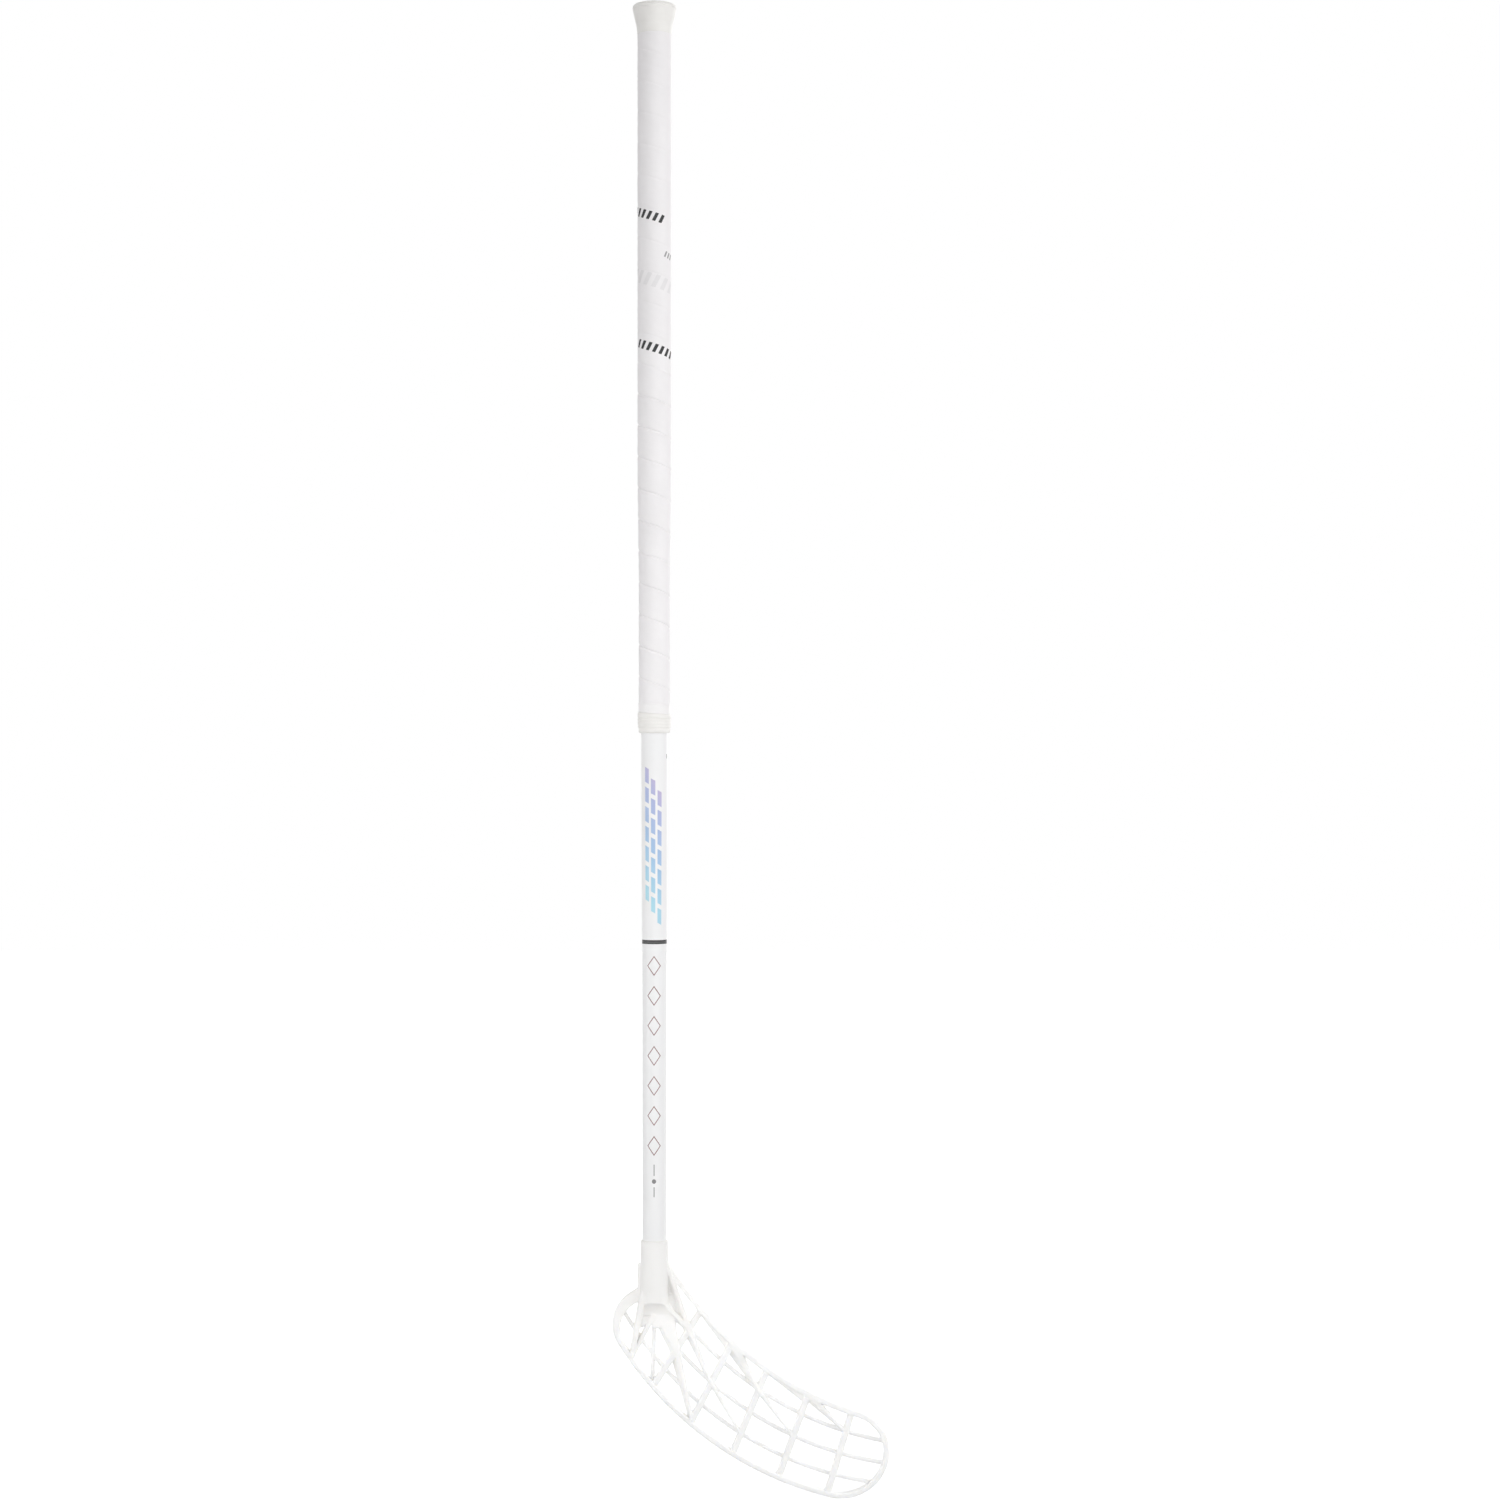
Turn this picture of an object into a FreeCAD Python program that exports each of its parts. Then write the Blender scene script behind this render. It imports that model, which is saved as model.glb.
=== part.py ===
import FreeCAD, Part
import math
import os
from FreeCAD import Vector

# Floorball stick, in millimetres.
# +Z runs up the shaft, +X points from the shaft to the blade's toe, and +Y is the side the toe hooks to.
# The origin lies on the shaft's axis, in the middle of the grip.

# Shaft
shaft_length = 1040.0          # butt face to the hosel's lower end
hold_drop = 300.0              # butt face to the origin
butt_diameter = 23.3
waist_diameter = 21.3
tip_diameter = 19.3
upper_taper_drop = 381.0       # butt face to the start of the taper under the grip
upper_taper_length = 78.0
lower_taper_drop = 602.0       # butt face to the start of the long taper below the grip
lower_taper_length = 213.0
shaft_wall = 1.2

# Butt plug
plug_stem_length = 24.0
plug_flange_thickness = 2.5
plug_head_diameter = 16.0
plug_clearance = 0.1

# Knob
knob_diameter = 35.0
knob_length = 24.0
knob_land = 4.0                # straight stretch below the rounded rim
knob_rim_radius = 3.0
knob_flare = 0.42              # share of the flare's width that is left half way down
knob_top_thickness = 3.0
knob_clearance = 0.1

# Grip tape
tape_thickness = 1.85
tape_turns = 22
tape_seam = 0.6                # open groove between neighbouring turns
tape_edge_width = 0.9          # bevel along both edges of the strip
tape_edge_drop = 0.7
tape_tip_width = 3.0           # the strip is cut to this width where it starts and ends
tape_glue = 0.1
tape_start_turn = 0.1          # share of a turn that the strip starts round from +X
tape_points = 24               # points along each span of the strip's edges
grip_drop = 568.5              # butt face to the visible end of the grip
grip_tuck = 10.5               # length of grip hidden by the finishing band

# Finishing tape and band
finish_lead = 7.5              # finishing tape that shows above the band
finish_thickness = 0.3
finish_skirt = 3.0             # length of the slope from the grip down to the shaft
finish_tail = 2.0              # finishing tape that lies on the shaft
band_length = 17.5
band_ribs = 5
band_thickness = 0.5
band_rib_height = 0.45
band_clearance = 0.05

# Blade hosel
hosel_length = 48.0            # rim to the hosel's lower end
hosel_wall = 1.2
hosel_draft = 0.45             # growth of the radius from the rim to the lower end
hosel_root = 12.0              # solid root below the hosel's lower end
socket_floor = 3.0
bond_gap = 0.25
tip_clearance = 0.2
spigot_length = 30.0
spigot_clearance = 0.3
scoop_radius = 14.0
scoop_web = 4.0                # thickness left between the front and the rear scoop

# Blade outline, seen along +Y, measured from the hosel's lower end
top_edge_rise = 28.7           # where the top edge leaves the hosel
top_edge_lean = 33.3           # degrees
top_edge_radius = 317.0
heel_offset = 4.6
heel_drop = 18.9
heel_radius = 28.8
heel_lean = 32.4               # degrees
heel_end = 120.0               # degrees round the heel where its arc ends
heel_join_rise = 9.4           # where the heel meets the hosel
heel_fin_rise = 28.8           # top of the fin that runs up the hosel
heel_fin_height = 2.0
heel_swell = 1.3               # offset of the circle that makes the back of the heel wider
heel_swell_drop = 4.9
heel_swell_overlap = 4.1
heel_swell_end = 102.0         # degrees round the heel where its wider back runs into the hosel
sole_radius = 309.0
toe_bearing = 38.6             # degrees along the blade from the heel to the toe

# Blade sections
frame_width = 3.6
frame_depth = 8.0
rib_width = 4.6
rib_depth = 6.6
rib_inset = 0.6
bar_width = 2.6
bar_depth = 2.9
bar_inset = 0.3
long_bars = 3
rib_top_angles = (8.0, 14.4, 20.9, 28.0, 35.0)    # degrees along the top edge
rib_first_angle = 8.4                             # degrees along the sole
rib_step_angle = 7.92
bar_overrun = 15.0             # degrees that the long bars run on until the frame cuts them
web_depth = 3.0
web_start = 0.06               # share of a rib that a corner web covers where it starts
web_reach = 0.13               # and where it ends

# Blade neck
strut_width = 3.4
strut_proud = 1.4              # height of the struts above the ribs
strut_fade = 0.3               # and where they run out
strut_skirt = 2.8              # spread of a strut's heel side from its front to its back
strut_rise = 3.0               # top edge's start up to the first strut, inside the hosel
strut_drop = 3.0               # hosel's lower end down to the second strut
strut_side = 0.8               # share of the hosel's radius where the struts leave it
strut_front = 0.38             # share of the hosel's radius that they reach before the axis
strut_rear = 0.35              # share of the hosel's radius that they reach behind the axis
strut_head = 0.02              # share of a rib where the struts on it start, inside the frame
heel_strut_rise = 2.0
heel_strut_front = 0.75
heel_strut_root = 14.0         # where the heel's strut starts, inside the hosel
heel_foot_angle = 3.0          # degrees along the sole
upright_foot_angle = 8.0
sole_foot_share = 0.94         # share of the second rib
tongue_rise = 4.0              # overlap of the tongue with the hosel's root
tongue_drop = 22.0             # hosel's lower end to the tongue's foot
tongue_left = 1.5
tongue_right = 17.4
tongue_thickness = 4.5
pocket_rise = 18.0
pocket_drop = 6.0
pocket_fork_share = 0.25       # share of the short strut that the heel's pocket goes down
pocket_heel_share = 0.5        # share of the heel's strut that it goes down

# Blade bowl, concave towards +Y
hook_radius = 600.0
bowl_radius = 260.0
bowl_lean = 28.0               # degrees
bowl_right = 20.0
bowl_drop = 35.0
face_offset = 2.0
bowl_spread = 32.0             # degrees that a layer reaches to both sides
bowl_back = 14.0               # degrees that a layer reaches behind the apex
bowl_ahead = 28.0

# Worked out
butt_z = hold_drop
hosel_end_z = butt_z - shaft_length
tip_radius = tip_diameter / 2
butt_radius = butt_diameter / 2
waist_radius = waist_diameter / 2
grip_radius = waist_radius + tape_glue + tape_thickness
socket_radius = tip_radius + bond_gap
rim_radius = socket_radius + hosel_wall
hosel_radius = rim_radius + hosel_draft
cut_depth = sole_radius        # cutting prisms are deeper than the blade
tube_top_z = butt_z - knob_top_thickness - plug_flange_thickness
tube_end_z = hosel_end_z + socket_floor + tip_clearance
band_top_z = butt_z - grip_drop
grip_top_z = butt_z - knob_length
grip_bottom_z = band_top_z - grip_tuck
tape_pitch = (grip_top_z - grip_bottom_z) / tape_turns


def turned(points):
    """Solid of revolution about Z from (radius, z) corners."""
    corners = [Vector(r, 0, z) for r, z in points]
    face = Part.Face(Part.makePolygon(corners + corners[:1]))
    return face.revolve(Vector(), Vector(0, 0, 1), 360)


def turned_edges(edges):
    """Solid of revolution about Z from a closed chain of edges in the XZ plane."""
    return Part.Face(Part.Wire(edges)).revolve(Vector(), Vector(0, 0, 1), 360)


def line(a, b):
    return Part.LineSegment(a, b).toShape()


def arc(a, b, c):
    return Part.Arc(a, b, c).toShape()


# Shaft

def shaft_profile():
    """(radius, z) corners of the shaft's outside, from the butt to the tip."""
    upper_z = butt_z - upper_taper_drop
    lower_z = butt_z - lower_taper_drop
    return [
        (butt_radius, tube_top_z),
        (butt_radius, upper_z),
        (waist_radius, upper_z - upper_taper_length),
        (waist_radius, lower_z),
        (tip_radius, lower_z - lower_taper_length),
        (tip_radius, tube_end_z),
    ]


def shaft_radius(z):
    """Outside radius of the shaft at height z."""
    corners = shaft_profile()
    for (r0, z0), (r1, z1) in zip(corners, corners[1:]):
        if z0 >= z >= z1:
            return r0 + (r1 - r0) * (z0 - z) / (z0 - z1)
    return butt_radius


def make_shaft_tube():
    outside = shaft_profile()
    inside = [(r - shaft_wall, z) for r, z in reversed(outside)]
    return turned(outside + inside)


# Butt end

def make_butt_plug():
    stem = butt_radius - shaft_wall - plug_clearance
    flange_top = tube_top_z + plug_flange_thickness
    head = plug_head_diameter / 2
    return turned([
        (0, butt_z),
        (head, butt_z),
        (head, flange_top),
        (butt_radius, flange_top),
        (butt_radius, tube_top_z),
        (stem, tube_top_z),
        (stem, tube_top_z - plug_stem_length),
        (0, tube_top_z - plug_stem_length),
    ])


def make_knob_cap():
    rim = knob_diameter / 2
    foot = butt_radius + tape_glue + tape_thickness
    hole = plug_head_diameter / 2 + knob_clearance
    bore = butt_radius + knob_clearance
    ceiling_z = butt_z - knob_top_thickness
    land_top_z = butt_z - knob_rim_radius
    land_end_z = land_top_z - knob_land
    diagonal = knob_rim_radius * math.sqrt(0.5)
    flare_mid = Vector(foot + knob_flare * (rim - foot), 0, (land_end_z + grip_top_z) / 2)
    corners = {
        "hole_top": Vector(hole, 0, butt_z),
        "rim_top": Vector(rim - knob_rim_radius, 0, butt_z),
        "rim_mid": Vector(rim - knob_rim_radius + diagonal, 0, land_top_z + diagonal),
        "land_top": Vector(rim, 0, land_top_z),
        "land_end": Vector(rim, 0, land_end_z),
        "foot": Vector(foot, 0, grip_top_z),
        "bore_end": Vector(bore, 0, grip_top_z),
        "bore_top": Vector(bore, 0, ceiling_z),
        "hole_end": Vector(hole, 0, ceiling_z),
    }
    c = corners
    return turned_edges([
        line(c["hole_top"], c["rim_top"]),
        arc(c["rim_top"], c["rim_mid"], c["land_top"]),
        line(c["land_top"], c["land_end"]),
        arc(c["land_end"], flare_mid, c["foot"]),
        line(c["foot"], c["bore_end"]),
        line(c["bore_end"], c["bore_top"]),
        line(c["bore_top"], c["hole_end"]),
        line(c["hole_end"], c["hole_top"]),
    ])


# Grip tape: one strip wound down the shaft, its ends cut to a taper so that both ends of the grip are square

TURN = 2 * math.pi


def groove_z(angle):
    """Height of the groove's centre line after the strip has gone round by this angle."""
    return grip_top_z - tape_pitch * angle / TURN


def strip_top(angle):
    return min(grip_top_z, groove_z(angle - TURN) - tape_seam / 2)


def strip_bottom(angle):
    return max(grip_bottom_z, groove_z(angle) + tape_seam / 2)


def strip_section(angle):
    """(radius, z) corners of the strip's section at this angle, inside bottom first."""
    top = strip_top(angle)
    bottom = strip_bottom(angle)
    inset_top = top - tape_edge_width
    inset_bottom = bottom + tape_edge_width
    inner = tape_glue
    outer = tape_glue + tape_thickness
    edge = outer - tape_edge_drop
    corners = [
        (inner, bottom), (edge, bottom), (outer, inset_bottom),
        (outer, inset_top), (edge, top), (inner, top),
    ]
    return [(shaft_radius(z) + lift, z) for lift, z in corners]


def strip_corners(angle):
    bearing = angle + TURN * tape_start_turn
    return [Vector(r * math.cos(bearing), r * math.sin(bearing), z) for r, z in strip_section(angle)]


def strip_spans():
    """Angles at which the strip is divided: its cut ends and even spans of about one turn between them."""
    tip = TURN * (tape_tip_width + tape_seam / 2) / tape_pitch
    half_seam = TURN * tape_seam / 2 / tape_pitch
    first = TURN - half_seam
    last = TURN * tape_turns + half_seam
    even = [first + (last - first) * i / tape_turns for i in range(tape_turns + 1)]
    return [tip] + even + [TURN * (tape_turns + 1) - tip]


def make_grip_tape():
    spans = strip_spans()
    faces = []
    for start, end in zip(spans, spans[1:]):
        stations = [strip_corners(start + (end - start) * i / tape_points) for i in range(tape_points + 1)]
        rails = []
        for corner in range(len(stations[0])):
            curve = Part.BSplineCurve()
            curve.interpolate([station[corner] for station in stations])
            rails.append(curve)
        for rail, neighbour in zip(rails, rails[1:] + rails[:1]):
            faces.append(rail.makeRuledSurface(neighbour).toShape())
    for angle in (spans[0], spans[-1]):
        corners = strip_corners(angle)
        faces.append(Part.Face(Part.makePolygon(corners + corners[:1])))
    shell = Part.makeShell(faces)
    shell.sewShape()
    return Part.Solid(shell.Shells[0])


def least_seam():
    """Least distance between one turn's lower edge and the next turn's upper edge, measured on points."""
    spans = strip_spans()
    count = tape_points * tape_turns
    angles = [spans[0] + (spans[-1] - TURN - spans[0]) * i / count for i in range(count + 1)]
    gaps = []
    for angle in angles:
        lower = strip_corners(angle)[:2]
        upper = strip_corners(angle + TURN)[4:]
        gaps += [p.distanceToPoint(q) for p in lower for q in upper]
    return min(gaps)


# Finishing tape and band

def finish_profile(lift, top_z, end_drop):
    """(radius, z) corners of a layer over the end of the grip and down onto the shaft."""
    skirt_z = grip_bottom_z - finish_skirt
    return [
        (grip_radius + lift, top_z),
        (grip_radius + lift, grip_bottom_z),
        (waist_radius + lift, skirt_z),
        (waist_radius + lift, skirt_z - end_drop),
    ]


def make_finishing_tape():
    top_z = band_top_z + finish_lead
    inside = finish_profile(band_clearance, top_z, finish_tail)
    outside = finish_profile(band_clearance + finish_thickness, top_z, finish_tail)
    return turned(outside + inside[::-1])


def make_finishing_band():
    pitch = band_length / band_ribs
    bottom_z = band_top_z - band_length
    lift = 2 * band_clearance + finish_thickness
    inside = finish_profile(lift, band_top_z, grip_bottom_z - finish_skirt - bottom_z)

    def outside_radius(z):
        for (r0, z0), (r1, z1) in zip(inside, inside[1:]):
            if z0 >= z >= z1:
                return r0 + (r1 - r0) * (z0 - z) / (z0 - z1) + band_thickness
        return inside[-1][0] + band_thickness

    grooves = [band_top_z - pitch * i for i in range(band_ribs + 1)]
    roots = [Vector(outside_radius(z), 0, z) for z in grooves]
    edges = []
    for a, b in zip(roots, roots[1:]):
        middle = Vector(0.5 * (a.x + b.x) + band_rib_height, 0, 0.5 * (a.z + b.z))
        edges.append(arc(a, middle, b))
    inner = [Vector(r, 0, z) for r, z in reversed(inside)]
    edges.append(line(roots[-1], inner[0]))
    edges += [line(a, b) for a, b in zip(inner, inner[1:])]
    edges.append(line(inner[-1], roots[0]))
    return turned_edges(edges)


# Blade: places in its outline are (u, v), to the right of the shaft's axis and up from the hosel's lower end

def polar(centre, radius, bearing):
    """Point at a bearing in degrees round a centre."""
    a = math.radians(bearing)
    return (centre[0] + radius * math.cos(a), centre[1] + radius * math.sin(a))


def bearing_of(centre, point):
    return math.degrees(math.atan2(point[1] - centre[1], point[0] - centre[0])) % 360


def between(a, b, share):
    return (a[0] + (b[0] - a[0]) * share, a[1] + (b[1] - a[1]) * share)


def place(point, y=0.0):
    return Vector(point[0], y, hosel_end_z + point[1])


top_start = (hosel_radius, top_edge_rise)
top_centre = polar(top_start, top_edge_radius, top_edge_lean)
heel_centre = (-heel_offset, -heel_drop)
sole_centre = polar(heel_centre, sole_radius - heel_radius, heel_lean)
top_bearing = top_edge_lean + 180
heel_bearing = heel_lean + 180


def toe_circle():
    """Centre and radius of the circle that touches both edges, its centre on an ellipse about theirs."""
    middle = between(top_centre, sole_centre, 0.5)
    major = (top_edge_radius + sole_radius) / 2
    focus = math.dist(top_centre, sole_centre) / 2
    minor = math.sqrt(major ** 2 - focus ** 2)
    bearing = heel_bearing + toe_bearing
    turn = math.radians(bearing - bearing_of(sole_centre, top_centre))
    reach = major * minor / math.hypot(minor * math.cos(turn), major * math.sin(turn))
    centre = polar(middle, reach, bearing)
    return centre, math.dist(centre, top_centre) - top_edge_radius


toe_centre, toe_radius = toe_circle()


def arc_edge(centre, radius, start, end):
    """Arc round a centre from one bearing to another."""
    middle = (start + end) / 2
    return arc(*[place(polar(centre, radius, b)) for b in (start, middle, end)])


def outline_face(inset):
    """The blade's outline, drawn in by an inset, closed across the hosel."""
    toe_from_top = bearing_of(top_centre, toe_centre)
    toe_from_sole = bearing_of(sole_centre, toe_centre)
    heel_tip = polar(heel_centre, heel_radius - inset, heel_end)
    edges = [
        arc_edge(top_centre, top_edge_radius + inset, top_bearing, toe_from_top),
        arc_edge(toe_centre, toe_radius - inset, toe_from_top - 180, toe_from_sole - 360),
        arc_edge(sole_centre, sole_radius - inset, toe_from_sole, heel_bearing),
        arc_edge(heel_centre, heel_radius - inset, heel_bearing, heel_end),
    ]
    if inset:
        corners = [heel_tip, (-hosel_radius / 2, heel_join_rise - inset)]
    else:
        left = -hosel_radius - heel_fin_height
        corners = [heel_tip, (left, heel_join_rise), (left, heel_fin_rise)]
    corners.append(polar(top_centre, top_edge_radius + inset, top_bearing))
    edges += [line(place(a), place(b)) for a, b in zip(corners, corners[1:])]
    return Part.Face(Part.Wire(edges))


def prism(face):
    """A flat face in the XZ plane, made deep along Y."""
    face = face.copy()
    face.translate(Vector(0, -cut_depth / 2, 0))
    return face.extrude(Vector(0, cut_depth, 0))


def polygon_prism(points):
    corners = [place(p) for p in points]
    return prism(Part.Face(Part.makePolygon(corners + corners[:1])))


def strip_prism(a, b, width):
    """Straight strip from a to b."""
    length = math.dist(a, b)
    side = (-(b[1] - a[1]) / length * width / 2, (b[0] - a[0]) / length * width / 2)
    return polygon_prism([
        (a[0] + side[0], a[1] + side[1]), (b[0] + side[0], b[1] + side[1]),
        (b[0] - side[0], b[1] - side[1]), (a[0] - side[0], a[1] - side[1]),
    ])


def ring_prism(centre, radius, width, start, end):
    """Curved strip round a centre."""
    inner = radius - width / 2
    outer = radius + width / 2
    edges = [
        arc_edge(centre, outer, start, end),
        line(place(polar(centre, outer, end)), place(polar(centre, inner, end))),
        arc_edge(centre, inner, end, start),
        line(place(polar(centre, inner, start)), place(polar(centre, outer, start))),
    ]
    return prism(Part.Face(Part.Wire(edges)))


# Bowl: the ball side is part of a torus, and everything is cut from layers that lie parallel to it

along = (math.cos(math.radians(bowl_lean)), -math.sin(math.radians(bowl_lean)))
across = (math.sin(math.radians(bowl_lean)), math.cos(math.radians(bowl_lean)))


def face_y(point, depth):
    """Y of the layer that lies this deep below the ball side, at a place in the outline."""
    du = point[0] - bowl_right
    dv = point[1] + bowl_drop
    far = du * along[0] + dv * along[1]
    wide = du * across[0] + dv * across[1]
    sag = bowl_radius - math.sqrt((bowl_radius + depth) ** 2 - wide ** 2)
    return face_offset + hook_radius - math.sqrt((hook_radius - sag) ** 2 - far ** 2)


def layer(top_depth, bottom_depth):
    """Solid between two depths below the ball side."""
    apex = place((bowl_right, -bowl_drop), face_offset)
    axis = Vector(across[0], 0, across[1])
    forward = Vector(along[0], 0, along[1])
    hub = apex + Vector(0, bowl_radius, 0)
    spread = math.radians(bowl_spread)

    def rim(depth, turn):
        radius = bowl_radius + depth
        return hub + axis * (radius * math.sin(turn)) + Vector(0, -radius * math.cos(turn), 0)

    edges = [
        arc(rim(bottom_depth, -spread), rim(bottom_depth, 0), rim(bottom_depth, spread)),
        line(rim(bottom_depth, spread), rim(top_depth, spread)),
        arc(rim(top_depth, spread), rim(top_depth, 0), rim(top_depth, -spread)),
        line(rim(top_depth, -spread), rim(bottom_depth, -spread)),
    ]
    profile = Part.Face(Part.Wire(edges))
    pivot = apex + Vector(0, hook_radius, 0)
    sense = 1 if axis.cross(apex - pivot).dot(forward) > 0 else -1
    profile.rotate(pivot, axis, -sense * bowl_back)
    return profile.revolve(pivot, axis, sense * (bowl_back + bowl_ahead))


# Lattice

def rib_ends(i):
    """Top and foot of cross rib i, on the blade's edges."""
    top = polar(top_centre, top_edge_radius, top_bearing + rib_top_angles[i])
    foot = polar(sole_centre, sole_radius, heel_bearing + rib_first_angle + rib_step_angle * i)
    return top, foot


def bar_share(n):
    """Share of the way from the top edge to the sole at which long bar n runs."""
    return n / (long_bars + 1)


def bar_circle(n):
    """Centre and radius of long bar n, counted from the top edge."""
    share = bar_share(n)
    radius = top_edge_radius + (sole_radius - top_edge_radius) * share
    return between(top_centre, sole_centre, share), radius


def crossing(i, n):
    """Where rib i meets long bar n."""
    top, foot = rib_ends(i)
    centre, radius = bar_circle(n)
    du, dv = foot[0] - top[0], foot[1] - top[1]
    eu, ev = top[0] - centre[0], top[1] - centre[1]
    a = du * du + dv * dv
    b = 2 * (du * eu + dv * ev)
    c = eu * eu + ev * ev - radius ** 2
    root = math.sqrt(b * b - 4 * a * c)
    steps = [(-b - root) / (2 * a), (-b + root) / (2 * a)]
    return between(top, foot, min(steps, key=lambda t: abs(t - bar_share(n))))


def strut(stations):
    """Tapered strut down stations of (place, width, skirt, front y, back y), its heel side sloping out."""
    wires = []
    for i, (point, width, skirt, front, back) in enumerate(stations):
        before = stations[max(i - 1, 0)][0]
        after = stations[min(i + 1, len(stations) - 1)][0]
        length = math.dist(before, after)
        toe_ward = ((before[1] - after[1]) / length, (after[0] - before[0]) / length)

        def beside(shift):
            return (point[0] + toe_ward[0] * shift, point[1] + toe_ward[1] * shift)

        corners = [
            place(beside(width / 2), front), place(beside(-width / 2), front),
            place(beside(-width / 2 - skirt), back), place(beside(width / 2), back),
        ]
        wires.append(Part.makePolygon(corners + corners[:1]))
    return Part.makeLoft(wires, True, True)


def node_station(point, width, skirt, proud=strut_proud):
    """Station of a strut where it crosses the lattice, its width and skirt as shares of the usual ones."""
    front = face_y(point, rib_depth + proud)
    back = face_y(point, 2 * rib_inset)
    return point, width * strut_width, skirt * strut_skirt, front, back


def make_frame():
    face = outline_face(0).cut(outline_face(frame_width))
    swell_centre = (heel_centre[0] + heel_swell, heel_centre[1] - heel_swell_drop)
    hollow = Part.makeCircle(heel_radius - heel_swell_overlap, place(swell_centre), Vector(0, 1, 0))
    back = Part.Face(Part.Wire([
        arc_edge(heel_centre, heel_radius, heel_bearing, heel_swell_end),
        line(place(polar(heel_centre, heel_radius, heel_swell_end)), place(heel_centre)),
        line(place(heel_centre), place(polar(heel_centre, heel_radius, heel_bearing))),
    ]))
    crescent = back.cut(Part.Face(Part.Wire(hollow)))
    plate = layer(0, frame_depth)
    return [prism(flat).common(plate) for flat in (face, crescent)]


def make_ribs():
    plate = prism(outline_face(frame_width / 2)).common(layer(rib_inset, rib_depth))
    strips = [strip_prism(*rib_ends(i), rib_width) for i in range(len(rib_top_angles))]
    return [plate.common(strip) for strip in strips]


def make_bars():
    plate = prism(outline_face(frame_width / 2)).common(layer(bar_inset, bar_depth))
    bars = []
    for n in range(1, long_bars + 1):
        centre, radius = bar_circle(n)
        start = heel_bearing - bar_overrun if n == long_bars else bearing_of(centre, crossing(0, n))
        bars.append(ring_prism(centre, radius, bar_width, start, heel_bearing + toe_bearing + bar_overrun))
    return [plate.common(bar) for bar in bars]


def make_webs():
    plate = prism(outline_face(frame_width / 2)).common(layer(2 * rib_inset, rib_inset + web_depth))
    webs = []
    for i in (0, 2):
        here = rib_ends(i)
        there = rib_ends(i + 1)
        webs.append(polygon_prism([here[0], there[0], between(*there, web_reach), between(*here, web_start)]))
    return [plate.common(web) for web in webs]


def sole_point(angle):
    """Middle of the frame at this many degrees along the sole from the heel."""
    return polar(sole_centre, sole_radius - frame_width / 2, heel_bearing + angle)


def heel_foot():
    return sole_point(heel_foot_angle)


def heel_strut_top():
    return (-strut_side * hosel_radius, heel_strut_rise)


def make_struts():
    side = strut_side * hosel_radius
    front = -strut_front * hosel_radius
    rear = strut_rear * hosel_radius
    heel_front = -heel_strut_front * hosel_radius
    knot = crossing(0, 1)
    fork = crossing(0, 2)
    tongue_end = (0.6 * tongue_right, -0.8 * tongue_drop)
    middle = ((tongue_right - tongue_left) / 2, -tongue_drop)
    tongue_front = face_y(middle, rib_inset + tongue_thickness)
    tongue_rear = face_y(middle, 2 * rib_inset)
    inside = prism(outline_face(0))
    return [
        strut([
            ((side, top_edge_rise + strut_rise), 0.9 * strut_width, strut_skirt, front, rear),
            node_station(knot, 0.8, 1.4),
            node_station(crossing(1, 2), 0.5, 0.4),
            node_station(crossing(2, 3), 0.4, 0.2, strut_fade),
        ]),
        strut([
            ((side, -strut_drop), 0.9 * strut_width, 1.4 * strut_skirt, front, rear),
            node_station(knot, 0.7, 0.9),
        ]),
        strut([
            ((-side, heel_strut_root), 0.6 * strut_width, 0, heel_front / 2, rear),
            (heel_strut_top(), 1.4 * strut_width, 0.4 * strut_skirt, heel_front, rear),
            node_station(heel_foot(), 0.75, 0.2),
        ]),
        strut([
            ((0, -tongue_drop / 2), strut_width, 0.2 * strut_skirt, tongue_front, tongue_rear),
            node_station(heel_foot(), 0.6, 0.2),
        ]),
        strut([
            (tongue_end, 3.4 * strut_width, strut_skirt, tongue_front, tongue_rear),
            node_station(fork, 1.1, 1.7),
            node_station(between(*rib_ends(1), sole_foot_share), 0.5, 0.6),
        ]),
        strut([
            node_station(between(*rib_ends(1), strut_head), 1.6, 2.0),
            node_station(crossing(2, 1), 0.65, 0.5),
            node_station(crossing(3, 2), 0.4, 0.2, strut_fade),
        ]).common(inside),
        strut([
            node_station(between(*rib_ends(3), strut_head), 1.1, 1.4),
            node_station(crossing(4, 1), 0.4, 0.2, strut_fade),
        ]).common(inside),
    ]


def make_neck():
    """Tongue below the hosel, floors of the pockets beside it, and the upright bar down to the sole."""
    side = strut_side * hosel_radius
    tongue = polygon_prism([
        (-tongue_left, tongue_rise), (tongue_right - tongue_left, tongue_rise),
        (tongue_right, -tongue_drop), (-tongue_left, -tongue_drop),
    ])
    toe_pocket = polygon_prism([(side, pocket_rise), (side, -pocket_drop), crossing(0, 1)])
    fork_top = (0, -tongue_drop / 2)
    heel_pocket = polygon_prism([
        (-side, 0), fork_top, between(fork_top, heel_foot(), pocket_fork_share),
        between(heel_strut_top(), heel_foot(), pocket_heel_share),
    ])
    upright = strip_prism((0, tongue_rise - tongue_drop), sole_point(upright_foot_angle), bar_width)
    floor = layer(rib_inset, rib_inset + web_depth)
    return [
        tongue.common(layer(rib_inset, rib_inset + tongue_thickness)),
        toe_pocket.common(floor),
        heel_pocket.common(floor),
        upright.common(layer(bar_inset, bar_depth)),
    ]


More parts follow.
